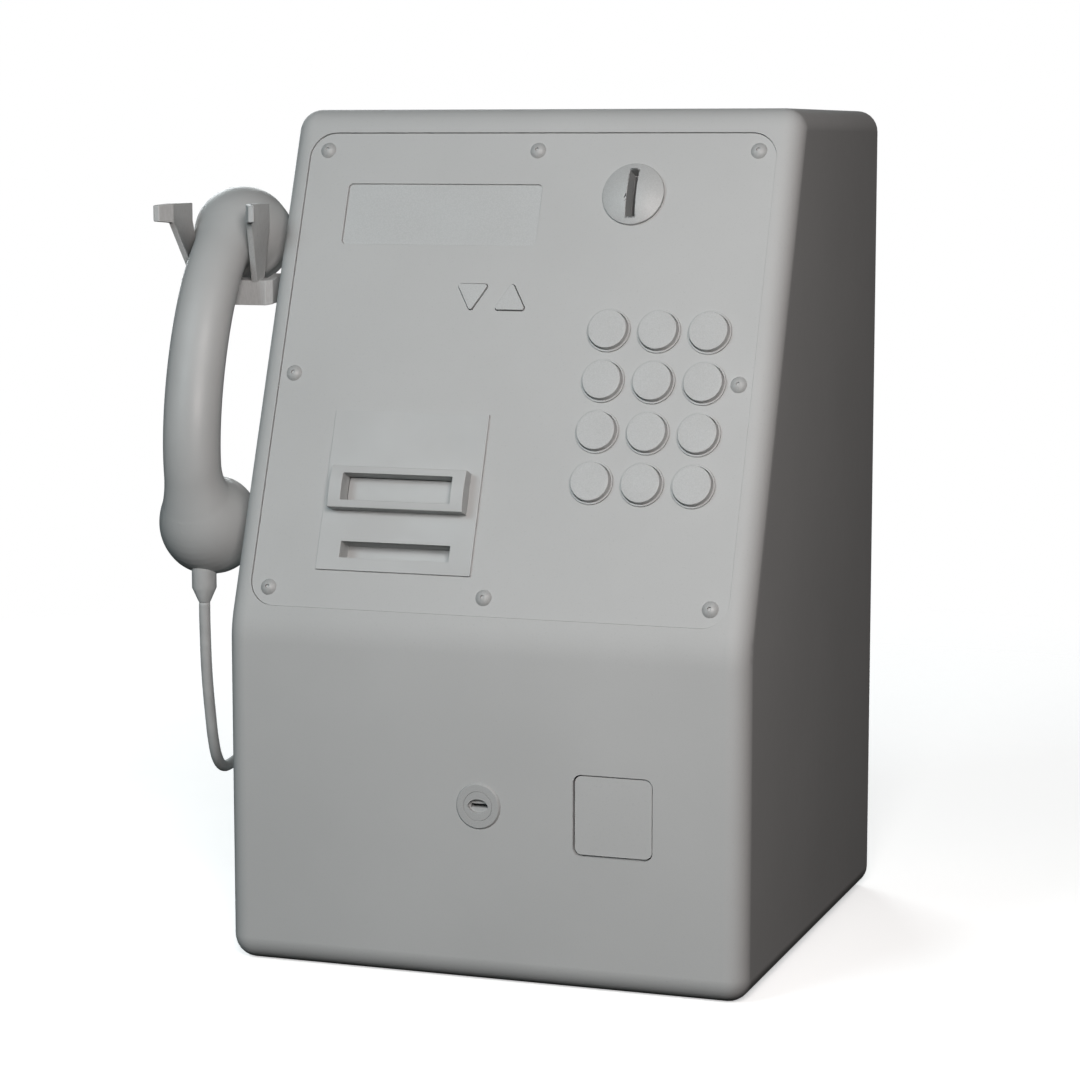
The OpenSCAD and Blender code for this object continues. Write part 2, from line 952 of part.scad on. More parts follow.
module hook_spring() {
    wire_r = 0.7;
    color(steel)
        for (i = [0:4])
            translate([left_x + wall + 3.2 + i * 1.5, pivot_y, pivot_z])
                rotate([0, 90, 0])
                    rotate_extrude()
                        translate([shaft_r + 1.6, 0])
                            circle(wire_r, $fn = 16);
}

// The cam's arm comes down to just above the switch when the hook is up
module hook_switch() {
    color(dark)
        translate([left_x + wall, pivot_y + 22, pivot_z - 22])
            cube([20, 12, 12.5]);
}

// ---------- handset ----------

function bezier(p, t) = pow(1 - t, 3) * p[0] + 3 * pow(1 - t, 2) * t * p[1]
    + 3 * (1 - t) * t * t * p[2] + pow(t, 3) * p[3];
grip_hull = [ear, ear + grip_bow * forward, mouth + grip_bow * forward, mouth];
grip_rings = 36;
grip_sides = 28;
grip_path = [for (i = [0:grip_rings]) bezier(grip_hull, i / grip_rings)];

function unit(v) = v / norm(v);
function heading(p, i) = unit(p[min(i + 1, len(p) - 1)] - p[max(i - 1, 0)]);
function flare(t) = pow(abs(2 * t - 1), 9);

function grip_ring(i) = [
    for (j = [0:grip_sides - 1])
        grip_path[i]
            + (grip_a + 5.5 * flare(i / grip_rings)) * cos(j * 360 / grip_sides) * [1, 0, 0]
            + (grip_b + 7 * flare(i / grip_rings)) * sin(j * 360 / grip_sides)
                * cross(heading(grip_path, i), [1, 0, 0])
];

// A cup frame has +Z along the cup's axis, out of its mouth
module cup_frame(at) {
    translate(at)
        rotate([-90 - chord_a, 0, 0])
            children();
}

module cup_solid() {
    intersection() {
        sphere(cup_r, $fn = 64);
        translate([0, 0, -cup_r])
            cylinder(r = cup_r + 1, h = cup_r, $fn = 64);
    }
    cylinder(r = cup_r, h = cup_back, $fn = 64);
}

module handset_body() {
    color(dark)
        difference() {
            union() {
                for (at = [ear, mouth])
                    cup_frame(at)
                        cup_solid();
                skin([for (i = [0:grip_rings]) grip_ring(i)]);
            }
            for (at = [ear, mouth])
                cup_frame(at)
                    translate([0, 0, cup_back - pocket_depth])
                        cylinder(r = pocket_r, h = 40);
            translate([-handset_x, handset_gland_y, handset_gland_z[1]])
                cylinder(r = handset_gland_r, h = handset_gland_z[0] - handset_gland_z[1]);
        }
}

module cap(at, holes) {
    round_r = 4;
    color(dark)
        cup_frame(at)
            difference() {
                rotate_extrude($fn = 64)
                    polygon(concat(
                        [[0, cup_back], [cup_r, cup_back], [cup_r, cup_back + cap_t - round_r]],
                        arc([cup_r - round_r, cup_back + cap_t - round_r], round_r, 15, 90, 5),
                        [[0, cup_back + cap_t - 1.5]]
                    ));
                for (i = [0:holes - 1])
                    rotate(i * 360 / holes)
                        translate([8, 0, cup_back - 1])
                            cylinder(r = 1.2, h = cap_t + 2, $fn = 16);
                translate([0, 0, cup_back - 1])
                    cylinder(r = 1.2, h = cap_t + 2, $fn = 16);
            }
}

module ear_cap() { cap(ear, 8); }
module mouth_cap() { cap(mouth, 6); }

module capsule(at) {
    color(steel)
        cup_frame(at)
            translate([0, 0, cup_back - pocket_depth])
                cylinder(r = pocket_r - 0.5, h = pocket_depth - 1);
}

module earpiece_capsule() { capsule(ear); }
module microphone_capsule() { capsule(mouth); }

module handset_gland() {
    collar_h = handset_gland_z[0] - handset_gland_z[1];
    cone_h = handset_gland_z[1] - handset_gland_z[2];
    color(dark)
        difference() {
            translate([-handset_x, handset_gland_y, 0]) {
                translate([0, 0, handset_gland_z[1]])
                    cylinder(r = handset_gland_r, h = collar_h);
                translate([0, 0, handset_gland_z[2]])
                    cylinder(r1 = cord_d / 2, r2 = handset_gland_r, h = cone_h);
            }
            cup_frame(mouth)
                translate([0, 0, cup_back])
                    cylinder(r = cup_r, h = cap_t, $fn = 64);
        }
}

// ---------- cord ----------

cord_sides = 10;

function cord_ring(i) = let(
    along = heading(cord_route, i),
    side = unit(cross(along, [1, 0, 0])),
    over = cross(along, side)
) [for (j = [0:cord_sides - 1])
    cord_route[i] + cord_d / 2 * (cos(j * 360 / cord_sides) * side + sin(j * 360 / cord_sides) * over)];

module cord() {
    color(dark)
        skin([for (i = [0:len(cord_route) - 1]) cord_ring(i)]);
}

module cord_gland() {
    sleeve = gland_at - cord_route[0];
    color(steel)
        union() {
            intersection() {
                translate(gland_at - [60, 30, 30])
                    cube([60, 60, 60]);
                translate(cord_route[0])
                    rotate([0, acos(sleeve[2] / norm(sleeve)), atan2(sleeve[1], sleeve[0])])
                        cylinder(r1 = 3.9, r2 = 6.4, h = norm(sleeve) + 4);
            }
            translate(gland_at - [3, 0, 0])
                rotate([0, 90, 0])
                    cylinder(r = 12, h = 3);
            translate(gland_at)
                rotate([0, 90, 0])
                    cylinder(r = shaft_r, h = wall + 6);
        }
}

module gland_nut() {
    color(steel)
        translate(gland_at + [wall, 0, 0])
            rotate([0, 90, 0])
                difference() {
                    cylinder(r = 10, h = 4, $fn = 6);
                    translate([0, 0, -1])
                        cylinder(r = shaft_r, h = 6);
                }
}

// ---------- parts ----------

housing_shell();
back_plate();
back_screws();
cable_grommet();
front_panel();
panel_gasket();
panel_screws();
display_window();
display_module();
volume_down_button();
volume_up_button();
key_collars();
key_1();
key_2();
key_3();
key_4();
key_5();
key_6();
key_7();
key_8();
key_9();
key_star();
key_0();
key_hash();
keypad_mat();
keypad_board();
coin_entry();
coin_chute();
coin_validator();
cash_box();
coin_return_cup();
coin_return_flap();
flap_pin();
lock_body();
lock_plug();
lock_cam();
lock_nut();
card_plate();
card_bezel();
card_shutter();
card_reader();
card_tray();
main_board();
hook_fork();
hook_shaft();
hook_cam();
hook_bushing();
hook_spring();
hook_switch();
handset_body();
ear_cap();
mouth_cap();
earpiece_capsule();
microphone_capsule();
handset_gland();
cord();
cord_gland();
gland_nut();
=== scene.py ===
"""The looks of the payphone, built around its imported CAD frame. Metres, +Z up, the front faces -Y."""

import json
import math

import bmesh
import bpy
from mathutils import Matrix, Vector

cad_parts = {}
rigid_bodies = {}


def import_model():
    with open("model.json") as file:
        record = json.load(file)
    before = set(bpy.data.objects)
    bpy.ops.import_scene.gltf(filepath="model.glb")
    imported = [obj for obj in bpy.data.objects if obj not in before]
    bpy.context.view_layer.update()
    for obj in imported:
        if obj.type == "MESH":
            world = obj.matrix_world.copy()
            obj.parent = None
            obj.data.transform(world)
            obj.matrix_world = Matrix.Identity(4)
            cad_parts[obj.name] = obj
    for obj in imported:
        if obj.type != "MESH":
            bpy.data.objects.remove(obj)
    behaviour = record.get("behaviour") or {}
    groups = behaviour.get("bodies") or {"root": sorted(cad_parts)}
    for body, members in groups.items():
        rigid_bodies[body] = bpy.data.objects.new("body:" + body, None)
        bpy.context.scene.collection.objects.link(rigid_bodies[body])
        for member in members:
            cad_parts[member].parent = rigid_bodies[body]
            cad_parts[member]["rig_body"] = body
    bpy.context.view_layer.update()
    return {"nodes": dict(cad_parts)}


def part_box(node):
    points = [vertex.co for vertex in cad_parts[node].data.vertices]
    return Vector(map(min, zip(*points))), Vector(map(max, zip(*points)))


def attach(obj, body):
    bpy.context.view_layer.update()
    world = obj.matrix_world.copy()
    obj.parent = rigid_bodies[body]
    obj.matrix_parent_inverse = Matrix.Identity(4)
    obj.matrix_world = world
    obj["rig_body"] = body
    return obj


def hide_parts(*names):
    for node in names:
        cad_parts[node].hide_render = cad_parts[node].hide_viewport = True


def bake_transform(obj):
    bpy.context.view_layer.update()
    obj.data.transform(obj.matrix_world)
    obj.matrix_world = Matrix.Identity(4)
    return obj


MM = 0.001

# ---------- the frame, the camera and the cord ----------

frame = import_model()
nodes = frame["nodes"]
scene = bpy.context.scene
scene.view_settings.view_transform = "Standard"

CAMERA_AT = Vector((0.4840, -1.4295, 0.3957))
CAMERA_YAW = math.radians(19.15)
CAMERA_PITCH = math.radians(-7.52)
CAMERA_LENS = 100.8


def link(name, data):
    """Puts new data into the scene as an object."""
    made = bpy.data.objects.new(name, data)
    scene.collection.objects.link(made)
    return made


camera_data = bpy.data.cameras.new("camera")
camera_data.lens = CAMERA_LENS
camera_data.sensor_width = 36.0
camera_data.clip_start = 0.05
camera = link("camera", camera_data)
camera.location = CAMERA_AT
look = Vector(
    (
        -math.sin(CAMERA_YAW) * math.cos(CAMERA_PITCH),
        math.cos(CAMERA_YAW) * math.cos(CAMERA_PITCH),
        math.sin(CAMERA_PITCH),
    )
)
camera.rotation_euler = look.to_track_quat("-Z", "Y").to_euler()
scene.camera = camera

CORD_D = 5.6
CORD_ROUTE = [
    (-147, -35, 96), (-150, -39, 92.5), (-153, -43, 89), (-156, -47.5, 86), (-158, -52, 83.5),
    (-159.5, -57, 82), (-160, -62, 82), (-160, -66.5, 84), (-160, -70, 87.5), (-160, -72.5, 92),
    (-160, -74.5, 98), (-160, -76, 104), (-160, -77.5, 112), (-160, -79, 120), (-160, -80.5, 130),
    (-160, -81.5, 140), (-160, -82, 150), (-160, -82.4, 160), (-160, -82.4, 168.8),
]
CORD_STEPS = 5
CORD_SIDES = 20


# ---------- finishes ----------


def grey(level):
    """A linear colour from three sRGB levels between 0 and 255, or a slightly cool grey from one."""
    levels = (level - 2, level + 0.5, level) if isinstance(level, (int, float)) else level
    return tuple(((c / 255 + 0.055) / 1.055) ** 2.4 for c in levels) + (1.0,)


def map_range(tree, value, limits):
    """Maps a value from one range onto another. limits are (from low, from high, to low, to high)."""
    node = tree.nodes.new("ShaderNodeMapRange")
    for socket, number in zip(node.inputs[1:5], limits):
        socket.default_value = number
    tree.links.new(value, node.inputs["Value"])
    return node.outputs["Result"]


# The colour sockets of a Mix node go by number, because their names repeat for each kind of data.
MIX_FACTOR, MIX_FIRST, MIX_SECOND, MIX_RESULT = 0, 6, 7, 2


class Finish:
    """A material made of one principled shader and the procedural textures that feed it."""

    def __init__(self, name, metallic=0.0, specular=0.5, coat=0.0):
        self.material = bpy.data.materials.new(name)
        self.material.use_nodes = True
        self.tree = self.material.node_tree
        self.shader = self.tree.nodes["Principled BSDF"]
        self.shader.inputs["Metallic"].default_value = metallic
        self.shader.inputs["Specular IOR Level"].default_value = specular
        self.shader.inputs["Coat Weight"].default_value = coat
        self.shader.inputs["Coat Roughness"].default_value = 0.3
        self.place = self.add("ShaderNodeTexCoord").outputs["Object"]
        self.bumped = None

    def add(self, kind, **inputs):
        node = self.tree.nodes.new(kind)
        for key, value in inputs.items():
            node.inputs[key].default_value = value
        return node

    def join(self, output, socket):
        self.tree.links.new(output, socket)

    def stretched(self, factors):
        """Object coordinates scaled along each axis, for a grain or a pattern that runs one way."""
        mapping = self.add("ShaderNodeMapping", Scale=factors)
        self.join(self.place, mapping.inputs["Vector"])
        return mapping.outputs["Vector"]

    def noise(self, scale, detail=3.0, place=None):
        texture = self.add("ShaderNodeTexNoise", Scale=scale, Detail=detail)
        self.join(place or self.place, texture.inputs["Vector"])
        return texture.outputs["Fac"]

    def cells(self, scale, place=None):
        texture = self.add("ShaderNodeTexVoronoi", Scale=scale)
        self.join(place or self.place, texture.inputs["Vector"])
        return texture.outputs["Distance"]

    def spread(self, value, low, high, start=0.3, end=0.7):
        """Maps a texture's usual range onto low to high."""
        return map_range(self.tree, value, (start, end, low, high))

    def mix(self, factor, second):
        """A Mix node whose second colour and factor are set, and whose first colour is still open."""
        node = self.add("ShaderNodeMix")
        node.data_type = "RGBA"
        node.inputs[MIX_SECOND].default_value = second
        self.join(factor, node.inputs[MIX_FACTOR])
        return node

    def tint(self, light, dark, factor):
        """Base colour between two colours."""
        node = self.mix(factor, dark)
        node.inputs[MIX_FIRST].default_value = light
        self.join(node.outputs[MIX_RESULT], self.shader.inputs["Base Color"])

    def overlay(self, colour, factor):
        """Lays one more colour over the base colour."""
        socket = self.shader.inputs["Base Color"]
        node = self.mix(factor, colour)
        self.join(socket.links[0].from_socket, node.inputs[MIX_FIRST])
        self.join(node.outputs[MIX_RESULT], socket)

    def rough(self, low, high, factor):
        """Roughness that follows a texture."""
        self.join(self.spread(factor, low, high), self.shader.inputs["Roughness"])

    def bump(self, value, depth, strength):
        """Adds a relief of a depth in metres on top of any relief so far."""
        node = self.add("ShaderNodeBump", Strength=strength, Distance=depth)
        self.join(value, node.inputs["Height"])
        if self.bumped:
            self.join(self.bumped, node.inputs["Normal"])
        self.bumped = node.outputs["Normal"]
        self.join(self.bumped, self.shader.inputs["Normal"])


def shifted(colour, factor):
    """A lighter or darker colour."""
    return tuple(min(1.0, c * factor) for c in colour[:3]) + (1.0,)


def powder_coat(name, level, texture=1.0):
    """Powder coat on sheet steel: a fine orange peel, faint cloudiness and tiny dark specks."""
    finish = Finish(name, specular=0.36)
    colour = grey(level)
    cloud = finish.noise(14.0, 4.0)
    finish.tint(shifted(colour, 1.02), shifted(colour, 0.97), finish.spread(cloud, 0, 1))
    specks = finish.noise(1500.0, 2.0)
    finish.overlay(shifted(colour, 0.82), finish.spread(specks, 0, 0.5, 0.62, 0.75))
    finish.rough(0.6, 0.68, finish.noise(160.0, 4.0))
    finish.bump(finish.noise(620.0, 1.5), 0.00005 * texture, 0.5)
    finish.bump(finish.noise(2600.0, 2.0), 0.00002 * texture, 0.5)
    return finish.material


def moulded_plastic(name, level, gloss=0.42):
    """Injection-moulded plastic with a spark-eroded grain, shinier where hands rub it."""
    finish = Finish(name, specular=0.45)
    colour = grey(level)
    finish.tint(shifted(colour, 1.04), shifted(colour, 0.95), finish.spread(finish.noise(22.0, 3.0), 0, 1))
    finish.rough(gloss - 0.06, gloss + 0.1, finish.noise(35.0, 5.0))
    finish.bump(finish.cells(1900.0), 0.00003, 0.4)
    finish.bump(finish.noise(240.0, 2.0), 0.00003, 0.4)
    return finish.material


def satin_metal(name, level, metallic, gloss, stretch=(1.0, 1.0, 1.0)):
    """Blasted or cast metal: fine grain, tiny pits and a soft change of gloss."""
    finish = Finish(name, metallic=metallic, specular=0.5)
    colour = grey(level)
    grain = finish.noise(1800.0, 3.0, finish.stretched(stretch))
    finish.tint(shifted(colour, 1.05), shifted(colour, 0.9), finish.spread(grain, 0, 1))
    finish.overlay(shifted(colour, 0.7), finish.spread(finish.noise(420.0, 5.0), 0, 0.4, 0.64, 0.8))
    finish.rough(gloss - 0.07, gloss + 0.09, finish.noise(70.0, 5.0))
    finish.bump(grain, 0.00002, 0.4)
    return finish.material


def rubber(name, level):
    """Soft rubber or flexible PVC: dull, with fine talc-like mottling and a fine grain."""
    finish = Finish(name, specular=0.3)
    colour = grey(level)
    finish.tint(shifted(colour, 1.12), shifted(colour, 0.9), finish.spread(finish.noise(90.0, 5.0), 0, 1))
    finish.rough(0.55, 0.75, finish.noise(160.0, 3.0))
    finish.bump(finish.noise(1300.0, 3.0), 0.00004, 0.5)
    return finish.material


def display_cover(name, level):
    """A matt acrylic window over a blank liquid-crystal field of fine dots."""
    finish = Finish(name, specular=0.4, coat=0.08)
    colour = grey(level)
    finish.tint(shifted(colour, 1.02), shifted(colour, 0.97), finish.spread(finish.noise(20.0, 2.0), 0, 1))
    dots = finish.cells(1400.0)
    finish.overlay(shifted(colour, 0.93), finish.spread(dots, 0.0, 1.0, 0.35, 0.6))
    finish.rough(0.42, 0.52, finish.noise(50.0, 4.0))
    finish.bump(finish.noise(900.0, 2.0), 0.00001, 0.4)
    return finish.material


def fibreglass_board(name):
    """A circuit board: green solder resist over a faint grid of tracks."""
    finish = Finish(name, specular=0.5, coat=0.2)
    finish.tint(grey((44, 96, 66)), grey((30, 74, 50)), finish.spread(finish.noise(60.0, 4.0), 0, 1))
    tracks = finish.cells(300.0, finish.stretched((1.0, 1.0, 0.2)))
    finish.overlay(grey((92, 128, 84)), finish.spread(tracks, 0, 0.7, 0.55, 0.6))
    finish.rough(0.32, 0.48, finish.noise(90.0, 3.0))
    finish.bump(tracks, 0.00005, 0.4)
    return finish.material


# The picture's grey on every part, as an sRGB level.
PANEL = 174
FINISHES = {
    "painted_steel": powder_coat("painted_steel_finish", PANEL - 1),
    "panel_paint": powder_coat("panel_paint_finish", PANEL, 0.7),
    "bezel_plastic": moulded_plastic("bezel_plastic_finish", PANEL - 1, 0.5),
    "flap_paint": powder_coat("flap_paint_finish", PANEL, 0.7),
    "display_glass": display_cover("display_cover_finish", PANEL),
    "key_metal": satin_metal("key_metal_finish", PANEL + 1, 0.06, 0.58),
    "collar_plastic": moulded_plastic("collar_plastic_finish", PANEL - 4),
    "handset_plastic": moulded_plastic("handset_plastic_finish", PANEL - 4),
    "gland_rubber": rubber("gland_rubber_finish", PANEL - 4),
    "cord_sheath": rubber("cord_sheath_finish", PANEL - 8),
    "seal_rubber": rubber("seal_rubber_finish", 52),
    "circuit_board": fibreglass_board("circuit_board_finish"),
    "inner_plastic": moulded_plastic("inner_plastic_finish", PANEL - 2),
    "hook_metal": satin_metal("hook_metal_finish", PANEL + 8, 0.1, 0.54, (1.0, 1.0, 0.15)),
    "bare_steel": satin_metal("bare_steel_finish", PANEL - 4, 0.12, 0.56),
}

SLOTS = {name: node.data.materials[0].name for name, node in nodes.items()}
for name, node in nodes.items():
    node.material_slots[0].material = FINISHES[SLOTS[name]]


# ---------- shapes ----------

WELD = 0.002 * MM
FLAT = math.radians(0.6)
SHARP = math.radians(28)
CRISP = 0
EDGE_SEGMENTS = 2
FULL_WEIGHT = 100


def middle(node):
    """The middle of a CAD node's box."""
    low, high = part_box(node)
    return (low + high) / 2


def body_of(node):
    return nodes[node]["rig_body"]


def settle(piece, node):
    """Gives a finished piece the finish and the slot of the CAD node that it stands for."""
    piece.data.materials.append(FINISHES[SLOTS[node]])
    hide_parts(node)


def as_object(name, mesh):
    """Turns a working mesh into a smooth-shaded object. Stored normals no longer fit new faces."""
    data = bpy.data.meshes.new(name)
    mesh.to_mesh(data)
    mesh.free()
    if "custom_normal" in data.attributes:
        data.attributes.remove(data.attributes["custom_normal"])
    data.shade_smooth()
    return link(name, data)


def keep_crisp(piece):
    """Leaves sharp edges sharp, and shades large flats as truly flat beside rounded corners."""
    piece.data.set_sharp_from_angle(angle=SHARP)
    flats = piece.modifiers.new("true_flats", "WEIGHTED_NORMAL")
    flats.keep_sharp = True
    flats.weight = FULL_WEIGHT


def soften(piece, width):
    """Rounds every sharp edge by a real, small radius in millimetres."""
    bevel = piece.modifiers.new("soft_edges", "BEVEL")
    bevel.width = width * MM
    bevel.segments = EDGE_SEGMENTS
    bevel.limit_method = "ANGLE"
    bevel.angle_limit = SHARP
    bevel.harden_normals = True
    bevel.use_clamp_overlap = False
    bevel.miter_outer = "MITER_ARC"


def refine(node, width):
    """A welded copy of a CAD node with joined flats and softened edges stands for it."""
    mesh = bmesh.new()
    mesh.from_mesh(nodes[node].data)
    bmesh.ops.remove_doubles(mesh, verts=mesh.verts, dist=WELD)
    bmesh.ops.dissolve_limit(mesh, angle_limit=FLAT, verts=mesh.verts, edges=mesh.edges)
    piece = as_object(f"{node}_finished", mesh)
    if width == CRISP:
        keep_crisp(piece)
    else:
        soften(piece, width)
    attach(piece, body_of(node))
    settle(piece, node)


SOFTENED = {
    "housing_shell": CRISP, "back_plate": 0.35, "back_screws": 0.2, "cable_grommet": 0.4,
    "front_panel": 0.22, "panel_screws": 0.12, "display_window": 0.2, "key_collars": 0.2,
    "volume_down_button": 0.3, "volume_up_button": 0.3,
    "coin_entry": 0.35, "coin_return_flap": 0.4, "coin_return_cup": 0.3,
    "lock_body": 0.2, "lock_plug": 0.15, "card_plate": 0.2, "card_bezel": 0.35,
    "card_shutter": 0.15, "card_tray": 0.15, "hook_fork": 0.45, "hook_bushing": 0.3,
    "ear_cap": 0.12, "mouth_cap": 0.12, "handset_gland": 0.4, "cord_gland": 0.4,
}
for node, width in SOFTENED.items():
    refine(node, width)


# ---------- keys ----------

SLOPE = math.radians(20.65)
slope_axes = Matrix.Rotation(math.pi / 2 - SLOPE, 4, "X")
KEYS = ["1", "2", "3", "4", "5", "6", "7", "8", "9", "star", "0", "hash"]
KEY_SIDES = 72
KEY_CROWN = 0.08
KEY_ROUND = 0.4
KEY_STEPS = 6
KEY_FLANGE_T = 1
KEY_CLEAR = 0.5
NEAR = 0.01


def turned(mesh, profile, sides):
    """Adds a profile of (radius, height) points turned about Z, closed where its radius is 0."""
    rings = []
    for radius, height in profile:
        if radius == 0:
            rings.append([mesh.verts.new((0, 0, height))])
            continue
        ring = []
        for i in range(sides):
            angle = math.tau * i / sides
            ring.append(mesh.verts.new((radius * math.cos(angle), radius * math.sin(angle), height)))
        rings.append(ring)
    for low, high in zip(rings, rings[1:]):
        for i in range(sides):
            j = i + 1
            below = [low[i % len(low)], low[j % len(low)]]
            above = [high[j % len(high)], high[i % len(high)]]
            mesh.faces.new(list(dict.fromkeys(below + above)))
    return [vertex for ring in rings for vertex in ring]


def key_profile(radius, top, bottom, flange, skirt, stem):
    """A crowned cap with a rolled edge, a straight skirt, a flange under the panel and a stem."""
    face = radius - KEY_ROUND
    crown = []
    for i in range(KEY_STEPS + 1):
        share = i / KEY_STEPS
        crown.append((face * share, top + KEY_CROWN * (1 - share ** 2)))
    roll = []
    for i in range(1, KEY_STEPS + 1):
        angle = math.radians(90 * (1 - i / KEY_STEPS))
        roll.append((face + KEY_ROUND * math.cos(angle), top - KEY_ROUND + KEY_ROUND * math.sin(angle)))
    low = skirt - KEY_FLANGE_T
    under = [(radius, skirt), (flange, skirt), (flange, low), (stem, low), (stem, bottom), (0, bottom)]
    return crown + roll + under


def make_key(name):
    """Turns a finer key out of the radii and heights of its CAD node, in millimetres."""
    node = f"key_{name}"
    to_slope = slope_axes.to_3x3().inverted()
    points = [to_slope @ vertex.co / MM for vertex in nodes[node].data.vertices]
    wide = [p.x for p in points]
    long = [p.y for p in points]
    high = [p.z for p in points]
    centre = Vector(((min(wide) + max(wide)) / 2, (min(long) + max(long)) / 2, 0))
    reach = [(math.hypot(p.x - centre.x, p.y - centre.y), p.z) for p in points]
    flange = max(r for r, h in reach)
    skirt = max(h for r, h in reach if r > flange - NEAR)
    radius = max(r for r, h in reach if h > skirt + KEY_CLEAR)
    stem = max(r for r, h in reach if h < skirt - KEY_FLANGE_T - KEY_CLEAR)
    profile = key_profile(radius, max(high) - KEY_CROWN, min(high), flange, skirt, stem)
    mesh = bmesh.new()
    turned(mesh, [(r * MM, h * MM) for r, h in profile], KEY_SIDES)
    bmesh.ops.recalc_face_normals(mesh, faces=mesh.faces)
    mesh.transform(Matrix.Translation(slope_axes @ (centre * MM)) @ slope_axes)
    piece = as_object(f"{node}_cap", mesh)
    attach(piece, body_of(node))
    settle(piece, node)


for name in KEYS:
    make_key(name)


# ---------- handset ----------

HANDSET_FINE = 0.8
HANDSET_SMOOTHING = 12
EAR_FILLET = 10
MOUTH_FILLET = 13
GRIP_HALF_WIDTH = 14.5
GRIP_HALF_DEPTH = 12.4
GRIP_FLARE_WIDTH = 5.5
GRIP_FLARE_DEPTH = 7
GRIP_FLARE_POWER = 9
GRIP_BOW = 46
GRIP_RINGS = 72
GRIP_SIDES = 56
CUP_BACK = 6
CUP_STEPS = 24
CUP_SIDES = 96
CAPSULE_OFFSET = -0.5
ACROSS = Vector((1, 0, 0))

chord = (middle("earpiece_capsule") - middle("microphone_capsule")).normalized()
cup_axis = Vector((0, chord.z, -chord.y))
ear = middle("earpiece_capsule") - CAPSULE_OFFSET * MM * cup_axis
mouth = middle("microphone_capsule") - CAPSULE_OFFSET * MM * cup_axis
cap_low, cap_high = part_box("ear_cap")
CUP_R = (cap_high.x - cap_low.x) / 2


def bezier(points, t):
    """A point on a cubic curve, t being its share of the way."""
    a, b, c, d = points
    return (1 - t) ** 3 * a + 3 * (1 - t) ** 2 * t * b + 3 * (1 - t) * t * t * c + t ** 3 * d


def tube(mesh, centres, sizes, sides):
    """Sweeps an ellipse along centres. sizes are (half width, half depth), and the width is along X."""
    rings = []
    for i, (centre, size) in enumerate(zip(centres, sizes)):
        along = (centres[min(i + 1, len(centres) - 1)] - centres[max(i - 1, 0)]).normalized()
        deep = along.cross(ACROSS).normalized()
        wide = deep.cross(along)
        ring = []
        for j in range(sides):
            angle = math.tau * j / sides
            offset = size[0] * math.cos(angle) * wide + size[1] * math.sin(angle) * deep
            ring.append(mesh.verts.new(centre + offset))
        rings.append(ring)
    for low, high in zip(rings, rings[1:]):
        for j in range(sides):
            k = (j + 1) % sides
            mesh.faces.new([low[j], high[j], high[k], low[k]])
    mesh.faces.new(rings[0])
    mesh.faces.new(reversed(rings[-1]))
    bmesh.ops.recalc_face_normals(mesh, faces=mesh.faces)


def grip_size(t):
    """The handle swells where it runs into the cups."""
    flare = abs(2 * t - 1) ** GRIP_FLARE_POWER
    half_width = GRIP_HALF_WIDTH + GRIP_FLARE_WIDTH * flare
    half_depth = GRIP_HALF_DEPTH + GRIP_FLARE_DEPTH * flare
    return (half_width * MM, half_depth * MM)


def cup_solid(mesh, at):
    """A half ball with a short straight collar on the side of its cap."""
    outline = [(0, -CUP_R)]
    for i in range(1, CUP_STEPS + 1):
        angle = math.pi / 2 * i / CUP_STEPS
        outline.append((CUP_R * math.sin(angle), -CUP_R * math.cos(angle)))
    back = CUP_BACK * MM
    corners = turned(mesh, [*outline, (CUP_R, back), (0, back)], CUP_SIDES)
    bmesh.ops.transform(mesh, matrix=cup_place(at), verts=corners)


def cup_place(at):
    """A frame whose +Z points out of a cup's mouth."""
    turn = Vector((0, 0, 1)).rotation_difference(cup_axis).to_matrix().to_4x4()
    return Matrix.Translation(at) @ turn


def outside_cup(point, at):
    """Distance from a cup's skin, negative inside it."""
    offset = point - at
    height = offset.dot(cup_axis)
    if height <= 0:
        return offset.length - CUP_R
    return max((offset - height * cup_axis).length - CUP_R, height - CUP_BACK * MM)


def outside_grip(point, curve, steps):
    """Rough distance from the handle's skin, negative inside it."""
    nearest = min(range(len(curve)), key=lambda i: (curve[i] - point).length_squared)
    before, after = curve[max(nearest - 1, 0)], curve[min(nearest + 1, len(curve) - 1)]
    along = (after - before).normalized()
    offset = point - curve[nearest]
    offset -= offset.dot(along) * along
    half_width, half_depth = grip_size(steps[nearest])
    deep = along.cross(ACROSS).normalized()
    share = math.hypot(offset.x / half_width, offset.dot(deep) / half_depth)
    return (share - 1) * offset.length / max(share, NEAR)


def fillet(mesh, curve, steps):
    """Fills the crease between the handle and each cup, by up to a quarter of the fillet's size."""
    for at, size in ((ear, EAR_FILLET * MM), (mouth, MOUTH_FILLET * MM)):
        reach = CUP_R + size
        for vertex in mesh.verts:
            if (vertex.co - at).length > reach:
                continue
            apart = abs(outside_cup(vertex.co, at) - outside_grip(vertex.co, curve, steps))
            share = max(size - apart, 0) / size
            vertex.co += vertex.normal * share * share * size / 4


